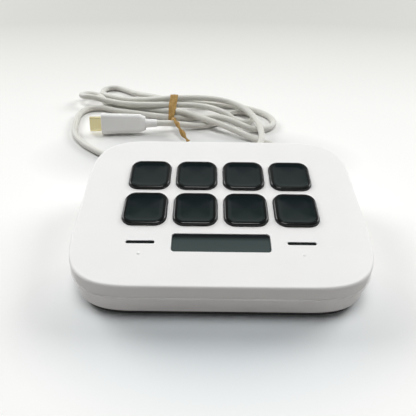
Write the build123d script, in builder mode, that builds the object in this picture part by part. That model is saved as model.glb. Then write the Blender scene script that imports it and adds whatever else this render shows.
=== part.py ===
"""Wedge-shaped display keypad with eight sprung display keys, an information bar,
two touch areas with light slots, and a tied USB-C lead lying behind it.

Frame: origin on the resting surface under the middle of the case, +X right,
+Y towards the back, +Z up.  Lengths are in millimetres.  The deck is the sloping
top face; places on it are given as (across, up the slope), heights above it are
measured along its normal.
"""
from build123d import *
import math
import os

# ---- case -----------------------------------------------------------------
case_width = 107.0
case_depth = 76.8           # up the slope of the deck
corner_reach = 23.6         # how far each soft corner runs along the sides
corner_pull = 0.75          # share of the reach that the corner's handles take
slope = 7.25                # degrees, front low
front_height = 16.3         # top edge at the front
cover_skin = 2.0
cover_wall = 2.0
cover_side = 5.5            # straight side of the cover below the deck's edge
edge_round = 0.9
seam_gap = 0.25
seam_chamfer = 0.3
foot_height = 2.9
foot_inset = 1.7            # foot's edge behind the case's outline
foot_chamfer = 0.4
foot_groove_inset = 7.0
foot_groove_width = 3.0
foot_groove_depth = 0.6
floor_thickness = 2.0
shell_wall = 2.0
shell_taper = 0.8           # how far the shell's base stands in from its top
lip_thickness = 0.9
lip_height = 1.4
lip_depth = 2.0             # how far the lip's root runs down inside the wall
fit_gap = 0.1               # clearance between seated pieces

# ---- keys -----------------------------------------------------------------
key_pitch = 18.94
key_columns = 4
key_rows = 2
key_block_up = 5.58         # middle of the key block, up the slope from the deck's middle
key_window = 16.86
key_window_round = 4.4
key_clearance = 0.2
key_crest = 1.1             # top of the key above the deck
key_shoulder = 0.8          # rounding of the key's outer top edge
key_rim = 1.3               # width of the black rim round the clear cap
key_skirt = 3.4             # bottom of the key below the deck
key_lip = 0.75              # retaining lip, beyond the skirt
key_lip_height = 1.0
key_travel = 1.2
cap_drop = 0.15             # clear cap's edge below the rim's crest
cap_dish = 0.5              # depth of the dish in the clear cap
dish_margin = 0.3           # from the dish's edge to the cap's sides
cap_length = 3.9            # thickness of the clear cap from its edge down
dome_radius = 0.8
dome_top_radius = 0.5
dome_count = 4
stop_gap = 0.2              # left under the skirt at full travel
membrane_thickness = 0.4
contact_thickness = 0.2
light_window = 12.4         # window under each key in the membrane and contact sheet

# ---- displays and their carrier --------------------------------------------
panel_width = 79.0
panel_depth = 38.8
panel_thickness = 1.5
backlight_thickness = 1.8
carrier_wall = 1.2
carrier_floor = 1.4
carrier_ledge = 3.0
ear_radius = 2.6
ear_thickness = 1.5
ear_inset_back = 9.5        # middle of a back ear inside the end of the displays
ear_past_slot = 4.85        # middle of a front ear beyond the end of its slot
ear_out_back = 2.32         # middle of a back ear behind the carrier's wall
ear_out_front = 2.78
ear_level = 6.1             # top of the ears below the deck
info_width = 35.1
info_depth = 8.2
info_round = 1.3
info_gap = 0.16             # from the carrier to the information bar's display
info_recess = 0.45          # glass below the deck
lens_clearance = 0.15
lens_flange = 0.9
lens_flange_height = 0.7
info_module_height = 2.3

# ---- touch areas ------------------------------------------------------------
slot_length = 10.3
slot_width = 1.4
slot_gap = 5.8              # from the information bar to a slot's end
slot_recess = 0.25
slot_clearance = 0.08
pipe_length = 4.0
pipe_flange = 0.7
pipe_flange_height = 0.6
pip_down = 5.0              # tactile pip below the middle of its slot
pip_radius = 0.9
pip_height = 0.25
touch_width = 12.6
touch_depth = 10.5
touch_thickness = 0.2
touch_down = 2.6            # middle of the electrode below its slot
led_size = (1.6, 0.8, 0.7)
led_count = 3
led_pitch = 3.2

# ---- boards -----------------------------------------------------------------
front_board_margin = 0.85   # beyond the slots' ends
front_board_depth = 15.0
front_board_gap = 1.08      # from the carrier to the board
front_board_level = 5.2     # top of the board below the deck
front_screw_out = 2.25      # screws beyond the ends of the information bar
front_screw_inset = 2.8     # screws behind the board's front edge
board_thickness = 1.2
main_board_width = 76.0
main_board_depth = 36.0
main_board_back = 10.0      # middle of the board behind the case's middle
main_board_base = 6.8       # underside of the board above the resting surface
main_board_inset = 4.0      # screws inside the board's edges
ballast_gap = 1.0           # from the ballast to the case screws' posts
ballast_depth = 52.0
ballast_thickness = 1.2
ballast_back = 2.0
ribbon_thickness = 0.3
display_ribbon_width = 14.0
front_ribbon_width = 10.0
ribbon_bend = 1.0

# ---- screws -----------------------------------------------------------------
case_shank_radius = 0.95
case_head_radius = 1.9
case_head_height = 1.2
case_screw_length = 8.0
case_post_radius = 2.0
case_post_gap = 0.1         # from a post to the lip beside it
case_post_top = 8.2
case_seat = 1.6             # depth of the head's counterbore in the floor
small_shank_radius = 0.9
small_head_radius = 1.8
small_head_height = 1.1
small_screw_length = 3.6
boss_radius = 2.2
thread_gap = 0.03           # shank to the wall of its tapped hole
hole_gap = 0.2              # shank to the wall of its clearance hole

# ---- lead ---------------------------------------------------------------------
cord_diameter = 3.5
exit_height = 9.4
relief_flange_radius = 4.2
relief_neck_radius = 3.2
relief_flange_length = 1.4
relief_base_radius = 3.1
relief_tip_radius = 2.35
relief_length = 14.0        # outside the case
relief_collar = 1.2
relief_rings = 4
relief_ring_depth = 0.4
inner_cord_length = 4.6     # inside the case, from the relief to the bare wires
wire_radius = 0.5
wire_pitch = 1.5
clamp_width = 15.0
clamp_depth = 3.0
clamp_height = 1.3
clamp_hump = 1.7
clamp_screw_across = 5.4

# route of the free stretch, after the relief's tip and up to the hank (x, y, z)
lead_route = [
    (0.0, 59.5, 9.4),
    (-3.6, 68.0, 6.6),
    (-13.0, 74.6, 3.4),
    (-27.0, 74.0, 1.9),
    (-41.0, 65.5, 1.9),
    (-56.0, 61.5, 1.9),
    (-66.5, 68.5, 1.9),
    (-76.5, 77.0, 1.9),
    (-83.5, 87.0, 1.9),
    (-85.3, 100.5, 1.9),
    (-84.0, 111.0, 1.9),
    (-80.0, 121.5, 1.9),
    (-70.0, 127.0, 2.2),
    (-57.0, 121.5, 2.6),
]
# route of the last strand, after its straight start at the plug and into the hank (x, y, z)
tail_route = [
    (-21.0, 95.6, 4.4),
    (-12.5, 98.8, 2.7),
    (-3.0, 101.3, 2.4),
]
tail_start = 6.4            # straight stretch behind the plug
# middles of the five strands where the tie holds them (y, z)
tied_strands = [
    (107.0, 2.6),
    (116.0, 2.6),
    (110.8, 5.2),
    (114.4, 7.4),
    (118.4, 9.7),
]
tie_across = -27.0          # middle of the tie's band
tie_width = 4.6
tie_thickness = 0.6
tie_gap = 0.1
waist_length = 10.0
# twisted tail of the tie, over the last strand and down to the surface (x, y, z)
tie_tail = [
    (-26.9, 104.4, 2.3),
    (-25.8, 98.6, 5.8),
    (-24.0, 92.2, 8.1),
    (-21.4, 86.6, 6.2),
    (-18.8, 82.4, 3.6),
    (-16.2, 80.4, 1.2),
]
tie_tail_diameter = 1.9
# outer shape of the hank's two lobes: x, then the middle, half width and half height
left_lobe = [
    (-92.0, 142.0, 4.0, 2.3),
    (-80.0, 140.0, 12.5, 3.8),
    (-60.0, 134.0, 17.0, 4.6),
    (-42.0, 126.0, 14.5, 5.4),
    (-30.0, 112.8, 7.2, 5.4),
]
right_lobe = [
    (-24.0, 112.8, 7.2, 5.4),
    (-8.0, 119.0, 20.5, 5.4),
    (8.0, 114.5, 21.5, 5.0),
    (20.0, 97.0, 23.0, 4.6),
    (30.0, 98.0, 20.0, 3.8),
    (37.0, 103.0, 6.0, 2.4),
]

# ---- plug ---------------------------------------------------------------------
plug_face = (-66.5, 91.0)   # middle of the overmould's front face (x, y)
plug_turn = 3.0             # degrees, its tail turned to the back
plug_lean = 65.0            # degrees, its wide side raised from the surface
overmould_length = 25.0
overmould_width = 12.0
overmould_thickness = 6.2
overmould_round = 2.2
overmould_narrowing = 1.7   # width lost from the front to the shoulder
overmould_thinning = 0.5    # thickness lost the same way
overmould_tail_width = 7.6
overmould_tail_thickness = 4.8
plug_tail_length = 6.6
plug_tail_radius = 2.7
plug_tail_tip_radius = 2.2
plug_shell_length = 6.7
plug_shell_width = 8.34
plug_shell_thickness = 2.56
plug_shell_wall = 0.3
tongue_width = 6.7
tongue_wall = 0.55
tongue_length = 5.4
overmould_shoulder = 3.0    # length of its rounded tail end
overmould_edge = 0.6
overmould_groove = 0.4      # shallow ring round the grip
overmould_groove_back = 14.5

# ---- small pieces on the boards ---------------------------------------------------
controller_place = (-14.0, -2.0)    # from the middle of the board
controller_size = (10.0, 10.0, 1.0)
memory_place = (2.0, -2.0)
memory_size = (8.0, 6.0, 0.9)
chip_edge = 0.15
passive_rows = [(-26.0, -1.0), (18.0, -4.0), (26.0, 5.0)]
passive_columns = 3
passive_lines = 2
passive_pitch = 2.8
passive_size = (1.6, 0.8, 0.6)
socket_side = 1.0
socket_depth = 3.2
socket_height = 1.3
display_socket_inset = 12.4     # middle of the socket inside the board's back edge
front_socket_inset = 3.8
cord_socket_inset = 3.4
cord_socket_width = 8.0
cord_socket_height = 2.6
display_ribbon_run = 12.2       # flat under the carrier
display_ribbon_loop = 4.6       # its fold behind the middle of its socket
front_ribbon_run = 8.6
front_ribbon_inset = 1.33       # its fold inside the front board's back edge

# ---- worked out -----------------------------------------------------------------
tilt = math.radians(slope)
half_depth = case_depth / 2 * math.cos(tilt)     # of the case, from above
deck_height = front_height + case_depth / 2 * math.sin(tilt)
deck = Plane(origin=(0, 0, deck_height), x_dir=(1, 0, 0), z_dir=(0, -math.sin(tilt), math.cos(tilt)))
seam_drop = cover_side + seam_gap
floor_top = foot_height + floor_thickness
case_seat_height = foot_height + case_seat
back_wall = half_depth - shell_wall - shell_taper      # clear of the shell's back wall inside
inner_cord_end = back_wall - relief_flange_length - inner_cord_length
relief_tip = half_depth + relief_length
key_size = key_window - 2 * key_clearance
cap_size = key_size - 2 * key_rim
cap_round = key_window_round - key_clearance - key_rim
membrane_top = key_skirt + key_travel + stop_gap
contact_top = membrane_top + membrane_thickness
panel_top = contact_top + contact_thickness
backlight_top = panel_top + panel_thickness
carrier_seat = backlight_top + backlight_thickness
key_middles = [
    (
        (column - (key_columns - 1) / 2) * key_pitch,
        key_block_up + ((key_rows - 1) / 2 - row) * key_pitch,
    )
    for row in range(key_rows)
    for column in range(key_columns)
]
carrier_half_depth = panel_depth / 2 + fit_gap + carrier_wall
carrier_front = key_block_up - carrier_half_depth
carrier_back = key_block_up + carrier_half_depth
info_up = carrier_front - info_gap - (info_depth + lens_flange) / 2
slot_across = info_width / 2 + slot_gap + slot_length / 2
slot_middles = [(-slot_across, info_up), (slot_across, info_up)]
ear_places = [
    (side * across, up)
    for across, up in (
        (panel_width / 2 - ear_inset_back, carrier_back + ear_out_back),
        (slot_across + slot_length / 2 + ear_past_slot, carrier_front - ear_out_front),
    )
    for side in (-1, 1)
]
front_board_width = 2 * (slot_across + slot_length / 2 + front_board_margin)
front_board_up = carrier_front - front_board_gap - front_board_depth / 2
front_board_screws = [
    (side * (info_width / 2 + front_screw_out), front_board_up - front_board_depth / 2 + front_screw_inset)
    for side in (-1, 1)
]
clamp_back = inner_cord_end + inner_cord_length / 2
main_board_top = main_board_base + board_thickness
main_board_screws = [
    (
        side * (main_board_width / 2 - main_board_inset),
        main_board_back + end * (main_board_depth / 2 - main_board_inset),
    )
    for end in (-1, 1)
    for side in (-1, 1)
]
main_board_rear = main_board_back + main_board_depth / 2
display_socket_back = main_board_rear - display_socket_inset
cord_socket_back = main_board_rear - cord_socket_inset
front_socket_back = main_board_back - main_board_depth / 2 + front_socket_inset
display_ribbon_drop = display_socket_back + display_ribbon_loop
display_ribbon_start = display_ribbon_drop - display_ribbon_run
front_ribbon_drop = (front_board_up + front_board_depth / 2) * math.cos(tilt) - front_ribbon_inset
front_ribbon_start = front_ribbon_drop - front_ribbon_run
lip_inside = cover_wall + fit_gap + lip_thickness
case_screw_across = case_width / 2 - lip_inside - case_post_gap - case_post_radius
case_screw_back = case_depth / 2 - corner_reach     # end of the straight side
case_screw_places = [
    (side * case_screw_across, end * case_screw_back) for side in (-1, 1) for end in (-1, 0, 1)
]
ballast_width = 2 * (case_screw_across - case_post_radius - ballast_gap)
clamp_base = exit_height + fit_gap
clamp_screws = [(-clamp_screw_across, clamp_back), (clamp_screw_across, clamp_back)]
turn = math.radians(plug_turn)
lean = math.radians(plug_lean)
plug_height = (
    (overmould_width / 2 - overmould_round) * math.sin(lean)
    + (overmould_thickness / 2 - overmould_round) * math.cos(lean)
    + overmould_round
)
plug_axis = (math.cos(turn), math.sin(turn), 0)
plug_wide = (-math.sin(turn) * math.cos(lean), math.cos(turn) * math.cos(lean), math.sin(lean))
plug_plane = Plane(origin=(*plug_face, plug_height), x_dir=plug_wide, z_dir=plug_axis)
plug_end = overmould_length + plug_tail_length
plug_tail_tip = plug_plane.from_local_coords(Vector(0, 0, plug_end))
tail_bend = plug_plane.from_local_coords(Vector(0, 0, plug_end + tail_start))

os.makedirs("parts", exist_ok=True)


def write(shape, name):
    """Label one finished piece and write it."""
    shape.label = name
    export_step(shape, f"parts/{name}.step")


def below(depth):
    """The deck's plane, moved down along its normal."""
    return deck.offset(-depth)


def lowered(drop):
    """The deck's plane, moved straight down."""
    return Plane(origin=(0, 0, deck_height - drop), x_dir=(1, 0, 0), z_dir=deck.z_dir)


def level(height):
    """A plane parallel to the resting surface."""
    return Plane.XY.offset(height)


def behind(y):
    """A plane across the lead's exit, this far behind the case's middle, facing back."""
    return Plane(origin=(0, y, exit_height), x_dir=(1, 0, 0), z_dir=(0, 1, 0))


def deck_z(y):
    """Height of the deck over a place behind the case's middle."""
    return deck_height + y * math.tan(tilt)


def case_outline(inset=0.0, depth=case_depth, mode=Mode.ADD):
    """Add the case's outline to the current sketch: flat sides and long soft corners."""
    x = case_width / 2 - inset
    y = depth / 2 - inset
    reach = corner_reach - inset
    handle = reach * (1 - corner_pull)
    with BuildLine() as line:
        for sx, sy in ((1, 1), (-1, 1), (-1, -1), (1, -1)):
            side = (sx * x, sy * (y - reach))
            end = (sx * (x - reach), sy * y)
            near = (sx * x, sy * (y - handle))
            far = (sx * (x - handle), sy * y)
            Bezier(side, near, far, end)
        Line((x, reach - y), (x, y - reach))
        Line((-x, reach - y), (-x, y - reach))
        Line((reach - x, y), (x - reach, y))
        Line((reach - x, -y), (x - reach, -y))
    make_face(line.edges(), mode=mode)


# ---- top cover --------------------------------------------------------------------
with BuildPart() as cover:
    with BuildSketch(deck):
        case_outline()
    extrude(amount=cover_side, dir=(0, 0, -1))
    rim = cover.faces().sort_by(Axis(deck.origin, deck.z_dir))[-1].edges()
    fillet(rim, edge_round)
    with BuildSketch(lowered(cover_skin / math.cos(tilt))):
        case_outline(cover_wall)
    extrude(amount=cover_side, dir=(0, 0, -1), mode=Mode.SUBTRACT)
    for x, y in case_screw_places:
        with BuildSketch(level(case_post_top + fit_gap)):
            with Locations((x, y)):
                Circle(case_post_radius)
        extrude(amount=deck_z(y) - cover_skin / 2 - case_post_top - fit_gap)
    ear_bosses = [(place, ear_level, ear_thickness) for place in ear_places]
    board_bosses = [(place, front_board_level, board_thickness) for place in front_board_screws]
    for place, level_below, held in ear_bosses + board_bosses:
        with BuildSketch(below(cover_skin - fit_gap)):
            with Locations(place):
                Circle(boss_radius)
        extrude(amount=-(level_below - cover_skin + fit_gap))
        with BuildSketch(below(level_below)):
            with Locations(place):
                Circle(small_shank_radius + thread_gap)
        extrude(amount=small_screw_length - held + hole_gap, mode=Mode.SUBTRACT)
    for x, y in case_screw_places:
        with BuildSketch(level(case_post_top)):
            with Locations((x, y)):
                Circle(case_shank_radius + thread_gap)
        extrude(amount=case_seat_height + case_screw_length - case_post_top + hole_gap, mode=Mode.SUBTRACT)
    with BuildSketch(below(cover_skin + fit_gap)):
        with Locations(*key_middles):
            RectangleRounded(key_window, key_window, key_window_round)
        with Locations((0, info_up)):
            RectangleRounded(info_width, info_depth, info_round)
        with Locations(*slot_middles):
            SlotOverall(slot_length, slot_width)
    extrude(amount=cover_skin + 2 * fit_gap, mode=Mode.SUBTRACT)
    for x, y in slot_middles:
        with Locations(deck.location * Location((x, y - pip_down, pip_height - pip_radius))):
            Sphere(pip_radius)
write(cover.part, "top_cover")


# ---- bottom shell -----------------------------------------------------------------
with BuildPart() as shell:
    with BuildSketch(lowered(seam_drop)):
        case_outline()
    with BuildSketch(level(foot_height)):
        case_outline(shell_taper, 2 * half_depth)
    loft(ruled=True)
    with BuildSketch(lowered(seam_drop)):
        case_outline(shell_wall)
    with BuildSketch(level(floor_top)):
        case_outline(shell_wall + shell_taper, 2 * half_depth)
    loft(ruled=True, mode=Mode.SUBTRACT)
    top_edge = shell.faces().sort_by(Axis(deck.origin, deck.z_dir))[-1].outer_wire().edges()
    chamfer(top_edge, seam_chamfer)
    with BuildSketch(lowered(seam_drop + lip_depth)):
        case_outline(shell_wall / 2)
        case_outline(lip_inside, mode=Mode.SUBTRACT)
    extrude(amount=lip_depth - seam_chamfer, dir=(0, 0, 1))
    with BuildSketch(lowered(seam_drop + lip_depth)):
        case_outline(cover_wall + fit_gap)
        case_outline(lip_inside, mode=Mode.SUBTRACT)
    extrude(amount=lip_depth + seam_gap + lip_height, dir=(0, 0, 1))
    with BuildSketch(level(floor_top)):
        with Locations(*case_screw_places):
            Circle(case_post_radius)
    extrude(amount=case_post_top - floor_top)
    with BuildSketch(level(floor_top)):
        with Locations(*main_board_screws):
            Circle(boss_radius)
    extrude(amount=main_board_base - floor_top)
    with BuildSketch(level(floor_top)):
        with Locations((0, clamp_back)):
            Rectangle(clamp_width, clamp_depth)
    extrude(amount=exit_height - floor_top)
    with BuildSketch(level(foot_height)):
        with Locations(*case_screw_places):
            Circle(case_shank_radius + hole_gap)
    extrude(amount=case_post_top - foot_height, mode=Mode.SUBTRACT)
    with BuildSketch(level(foot_height)):
        with Locations(*case_screw_places):
            Circle(case_head_radius + hole_gap)
    extrude(amount=case_seat, mode=Mode.SUBTRACT)
    with BuildSketch(level(main_board_base)):
        with Locations(*main_board_screws):
            Circle(small_shank_radius + thread_gap)
    extrude(amount=-(small_screw_length - board_thickness + hole_gap), mode=Mode.SUBTRACT)
    with BuildSketch(level(exit_height)):
        with Locations(*clamp_screws):
            Circle(small_shank_radius + thread_gap)
    extrude(amount=-(small_screw_length - clamp_height + hole_gap), mode=Mode.SUBTRACT)
    with BuildSketch(behind(clamp_back - clamp_depth)):
        Circle(cord_diameter / 2 + thread_gap)
    extrude(amount=2 * clamp_depth, mode=Mode.SUBTRACT)
    with BuildSketch(behind(back_wall - fit_gap)):
        Circle(relief_neck_radius + fit_gap)
    extrude(amount=relief_length, mode=Mode.SUBTRACT)
write(shell.part, "bottom_shell")

with BuildPart() as foot:
    with BuildSketch(level(0)):
        case_outline(foot_inset, 2 * half_depth)
    extrude(amount=foot_height)
    chamfer(foot.faces().sort_by(Axis.Z)[0].edges(), foot_chamfer)
    with BuildSketch(level(0)):
        case_outline(foot_groove_inset, 2 * half_depth)
        case_outline(foot_groove_inset + foot_groove_width, 2 * half_depth, mode=Mode.SUBTRACT)
    extrude(amount=foot_groove_depth, mode=Mode.SUBTRACT)
write(foot.part, "base_foot")

with BuildPart() as ballast:
    with BuildSketch(level(floor_top)):
        with Locations((0, ballast_back)):
            RectangleRounded(ballast_width, ballast_depth, 2 * boss_radius)
        with Locations(*main_board_screws):
            Circle(boss_radius + hole_gap, mode=Mode.SUBTRACT)
    extrude(amount=ballast_thickness)
write(ballast.part, "ballast_plate")


# ---- keys ---------------------------------------------------------------------------
dish_reach = cap_size / 2 - dish_margin
dish_radius = (dish_reach**2 + cap_dish**2) / (2 * cap_dish)
dome_offset = key_size / 2 - key_rim / 2

for number, middle in enumerate(key_middles, start=1):
    with BuildPart() as key_frame:
        with BuildSketch(below(key_skirt)):
            with Locations(middle):
                RectangleRounded(key_size, key_size, key_window_round - key_clearance)
        extrude(amount=key_skirt + key_crest)
        crown = key_frame.faces().sort_by(Axis(deck.origin, deck.z_dir))[-1].edges()
        fillet(crown, key_shoulder)
        with BuildSketch(below(cover_skin + fit_gap)):
            with Locations(middle):
                lip_size = key_size + 2 * key_lip
                RectangleRounded(lip_size, lip_size, key_window_round - key_clearance + key_lip)
        extrude(amount=-key_lip_height)
        with BuildSketch(below(key_skirt)):
            with Locations(middle):
                RectangleRounded(cap_size, cap_size, cap_round)
        extrude(amount=key_skirt + key_crest, mode=Mode.SUBTRACT)
    write(key_frame.part, f"key_frame_{number}")

    with BuildPart() as key_cap:
        with BuildSketch(below(cap_drop - key_crest)):
            with Locations(middle):
                RectangleRounded(cap_size, cap_size, cap_round)
        extrude(amount=-cap_length)
        dish_middle = key_crest - cap_drop - cap_dish + dish_radius
        with Locations(deck.location * Location((*middle, dish_middle))):
            Sphere(dish_radius, rotation=(0, -90, 0), mode=Mode.SUBTRACT)
    write(key_cap.part, f"key_cap_{number}")

    with BuildPart() as key_domes:
        with Locations(below(membrane_top).location * Location((*middle, 0))):
            with PolarLocations(dome_offset, dome_count):
                Cone(
                    dome_radius,
                    dome_top_radius,
                    membrane_top - key_skirt - fit_gap,
                    align=(Align.CENTER, Align.CENTER, Align.MIN),
                )
    write(key_domes.part, f"key_domes_{number}")


# ---- display under the keys -----------------------------------------------------------
for name, top, thickness in (
    ("key_membrane", membrane_top, membrane_thickness),
    ("contact_sheet", contact_top, contact_thickness),
):
    with BuildPart() as sheet:
        with BuildSketch(below(top)):
            with Locations((0, key_block_up)):
                Rectangle(panel_width, panel_depth)
            with Locations(*key_middles):
                RectangleRounded(light_window, light_window, cap_round, mode=Mode.SUBTRACT)
        extrude(amount=-thickness)
    write(sheet.part, name)

for name, top, thickness in (
    ("display_panel", panel_top, panel_thickness),
    ("display_backlight", backlight_top, backlight_thickness),
):
    with BuildPart() as layer:
        with BuildSketch(below(top)):
            with Locations((0, key_block_up)):
                Rectangle(panel_width, panel_depth)
        extrude(amount=-thickness)
    write(layer.part, name)

with BuildPart() as carrier:
    pocket = (panel_width + 2 * fit_gap, panel_depth + 2 * fit_gap)
    with BuildSketch(below(carrier_seat + carrier_floor)):
        with Locations((0, key_block_up)):
            Rectangle(pocket[0] + 2 * carrier_wall, 2 * carrier_half_depth)
    extrude(amount=carrier_seat + carrier_floor - membrane_top)
    with BuildSketch(below(ear_level)):
        for x, up in ear_places:
            inward = math.copysign(ear_radius, key_block_up - up)
            with Locations((x, up)):
                Circle(ear_radius)
            with Locations((x, up + inward)):
                Rectangle(2 * ear_radius, 2 * ear_radius)
    extrude(amount=-ear_thickness)
    with BuildSketch(below(carrier_seat)):
        with Locations((0, key_block_up)):
            Rectangle(*pocket)
    extrude(amount=carrier_seat, mode=Mode.SUBTRACT)
    with BuildSketch(below(carrier_seat + carrier_floor)):
        with Locations((0, key_block_up)):
            Rectangle(pocket[0] - 2 * carrier_ledge, pocket[1] - 2 * carrier_ledge)
    extrude(amount=carrier_seat, mode=Mode.SUBTRACT)
    with BuildSketch(below(ear_level)):
        with Locations(*ear_places):
            Circle(small_shank_radius + hole_gap)
    extrude(amount=-ear_thickness, mode=Mode.SUBTRACT)
write(carrier.part, "display_carrier")


# ---- information bar and touch areas -----------------------------------------------------
with BuildPart() as lens:
    with BuildSketch(below(info_recess)):
        with Locations((0, info_up)):
            RectangleRounded(
                info_width - 2 * lens_clearance,
                info_depth - 2 * lens_clearance,
                info_round - lens_clearance,
            )
    extrude(amount=-(cover_skin - info_recess))
    with BuildSketch(below(cover_skin)):
        with Locations((0, info_up)):
            RectangleRounded(info_width + 2 * lens_flange, info_depth + 2 * lens_flange, info_round)
    extrude(amount=-lens_flange_height)
write(lens.part, "info_lens")

with BuildPart() as info_display:
    with BuildSketch(below(front_board_level - fit_gap / 2)):
        with Locations((0, info_up)):
            Rectangle(info_width + lens_flange, info_depth + lens_flange)
    extrude(amount=info_module_height)
write(info_display.part, "info_display")

with BuildPart() as pipes:
    with BuildSketch(below(slot_recess)):
        with Locations(*slot_middles):
            SlotOverall(slot_length - 2 * slot_clearance, slot_width - 2 * slot_clearance)
    extrude(amount=-pipe_length)
    with BuildSketch(below(cover_skin)):
        with Locations(*slot_middles):
            SlotOverall(slot_length + 2 * pipe_flange, slot_width + 2 * pipe_flange)
    extrude(amount=-pipe_flange_height)
write(pipes.part, "light_pipes")

with BuildPart() as touch_pads:
    with BuildSketch(below(cover_skin)):
        with Locations(*[(x, up - touch_down) for x, up in slot_middles]):
            RectangleRounded(touch_width, touch_depth, slot_width)
        with Locations(*slot_middles):
            hole = (slot_length + 3 * pipe_flange, slot_width + 3 * pipe_flange)
            SlotOverall(*hole, mode=Mode.SUBTRACT)
    extrude(amount=-touch_thickness)
write(touch_pads.part, "touch_pads")

with BuildPart() as front_board:
    with BuildSketch(below(front_board_level)):
        with Locations((0, front_board_up)):
            Rectangle(front_board_width, front_board_depth)
        with Locations(*front_board_screws):
            Circle(small_shank_radius + hole_gap, mode=Mode.SUBTRACT)
    extrude(amount=-board_thickness)
write(front_board.part, "front_board")

with BuildPart() as leds:
    with BuildSketch(below(front_board_level)):
        for x, up in slot_middles:
            with Locations((x, up)):
                with GridLocations(led_pitch, led_pitch, led_count, 1):
                    Rectangle(led_size[0], led_size[1])
    extrude(amount=led_size[2])
write(leds.part, "status_leds")


# ---- main board ------------------------------------------------------------------------
with BuildPart() as main_board:
    with BuildSketch(level(main_board_base)):
        with Locations((0, main_board_back)):
            Rectangle(main_board_width, main_board_depth)
        with Locations(*main_board_screws):
            Circle(small_shank_radius + hole_gap, mode=Mode.SUBTRACT)
    extrude(amount=board_thickness)
write(main_board.part, "main_board")

for name, (x, y), (wide, deep, high) in (
    ("controller_chip", controller_place, controller_size),
    ("memory_chip", memory_place, memory_size),
):
    with BuildPart() as chip:
        with BuildSketch(level(main_board_top)):
            with Locations((x, main_board_back + y)):
                Rectangle(wide, deep)
        extrude(amount=high)
        chamfer(chip.faces().sort_by(Axis.Z)[-1].edges(), chip_edge)
    write(chip.part, name)

with BuildPart() as passives:
    for x, y in passive_rows:
        with BuildSketch(level(main_board_top)):
            with Locations((x, main_board_back + y)):
                with GridLocations(passive_pitch, passive_pitch, passive_columns, passive_lines):
                    Rectangle(passive_size[0], passive_size[1])
        extrude(amount=passive_size[2])
write(passives.part, "board_passives")

with BuildPart() as sockets:
    for y, wide, deep, high in (
        (display_socket_back, display_ribbon_width + 2 * socket_side, socket_depth, socket_height),
        (front_socket_back, front_ribbon_width + 2 * socket_side, socket_depth, socket_height),
        (cord_socket_back, cord_socket_width, socket_depth, cord_socket_height),
    ):
        with BuildSketch(level(main_board_top)):
            with Locations((0, y)):
                Rectangle(wide, deep)
        extrude(amount=high)
write(sockets.part, "board_sockets")

ribbon_level = main_board_top + socket_height / 2


def hung_z(y, depth):
    """Height of a ribbon that lies against an underside, this far below the deck."""
    return deck_z(y) - (depth + ribbon_thickness / 2) / math.cos(tilt) - thread_gap


for name, width, points in (
    (
        "display_ribbon",
        display_ribbon_width,
        [
            (display_ribbon_start, hung_z(display_ribbon_start, carrier_seat)),
            (display_ribbon_drop, hung_z(display_ribbon_drop, carrier_seat)),
            (display_ribbon_drop, ribbon_level),
            (display_socket_back + socket_depth / 2, ribbon_level),
        ],
    ),
    (
        "front_ribbon",
        front_ribbon_width,
        [
            (front_ribbon_start, hung_z(front_ribbon_start, front_board_level + board_thickness)),
            (front_ribbon_drop, hung_z(front_ribbon_drop, front_board_level + board_thickness)),
            (front_ribbon_drop + ribbon_bend, ribbon_level),
            (front_socket_back - socket_depth / 2, ribbon_level),
        ],
    ),
):
    with BuildPart() as ribbon:
        with BuildSketch(Plane.YZ.offset(-width / 2)):
            with BuildLine() as run:
                FilletPolyline(*points, radius=ribbon_bend)
            trace(run.edges(), line_width=ribbon_thickness)
        extrude(amount=width)
    write(ribbon.part, name)


# ---- screws ----------------------------------------------------------------------------
def add_screw(plane, shank_radius, length, head_radius, head_height):
    """Add one pan-head screw to the current part: its head's seat is on the plane."""
    with BuildSketch(plane) as shank:
        Circle(shank_radius)
    with BuildSketch(plane) as head:
        Circle(head_radius)
    with BuildSketch(plane.offset(-head_height)) as cross:
        Rectangle(1.4 * head_radius, 0.3 * head_radius)
        Rectangle(0.3 * head_radius, 1.4 * head_radius)
    body = extrude(shank.sketch, amount=length, mode=Mode.PRIVATE)
    pan = extrude(head.sketch, amount=-head_height, mode=Mode.PRIVATE)
    recess = extrude(cross.sketch, amount=head_height / 2, mode=Mode.PRIVATE)
    add(body + pan - recess)


with BuildPart() as case_screws:
    for x, y in case_screw_places:
        seat = Plane(origin=(x, y, case_seat_height), z_dir=(0, 0, 1))
        add_screw(seat, case_shank_radius, case_screw_length, case_head_radius, case_head_height)
write(case_screws.part, "case_screws")

with BuildPart() as small_screws:
    seats = [
        Plane(below(ear_level + ear_thickness).location * Location((*place, 0))) for place in ear_places
    ]
    seats += [
        Plane(below(front_board_level + board_thickness).location * Location((*place, 0)))
        for place in front_board_screws
    ]
    seats += [
        Plane(origin=(x, y, main_board_top), z_dir=(0, 0, -1)) for x, y in main_board_screws
    ]
    seats += [
        Plane(origin=(x, y, clamp_base + clamp_height), z_dir=(0, 0, -1)) for x, y in clamp_screws
    ]
    for seat in seats:
        add_screw(seat, small_shank_radius, small_screw_length, small_head_radius, small_head_height)
write(small_screws.part, "small_screws")


# ---- lead inside the case ------------------------------------------------------------------
with BuildPart() as clamp:
    with BuildSketch(level(clamp_base)):
        with Locations((0, clamp_back)):
            Rectangle(clamp_width, clamp_depth)
        with Locations(*clamp_screws):
            Circle(small_shank_radius + hole_gap, mode=Mode.SUBTRACT)
    extrude(amount=clamp_height)
    with BuildSketch(level(clamp_base)):
        with Locations((0, clamp_back)):
            Rectangle(2 * (clamp_screw_across - small_head_radius - fit_gap), clamp_depth)
    extrude(amount=clamp_height + clamp_hump)
    with BuildSketch(behind(clamp_back - clamp_depth)):
        Circle(cord_diameter / 2 + thread_gap)
    extrude(amount=2 * clamp_depth, mode=Mode.SUBTRACT)
write(clamp.part, "cord_clamp")

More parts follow.
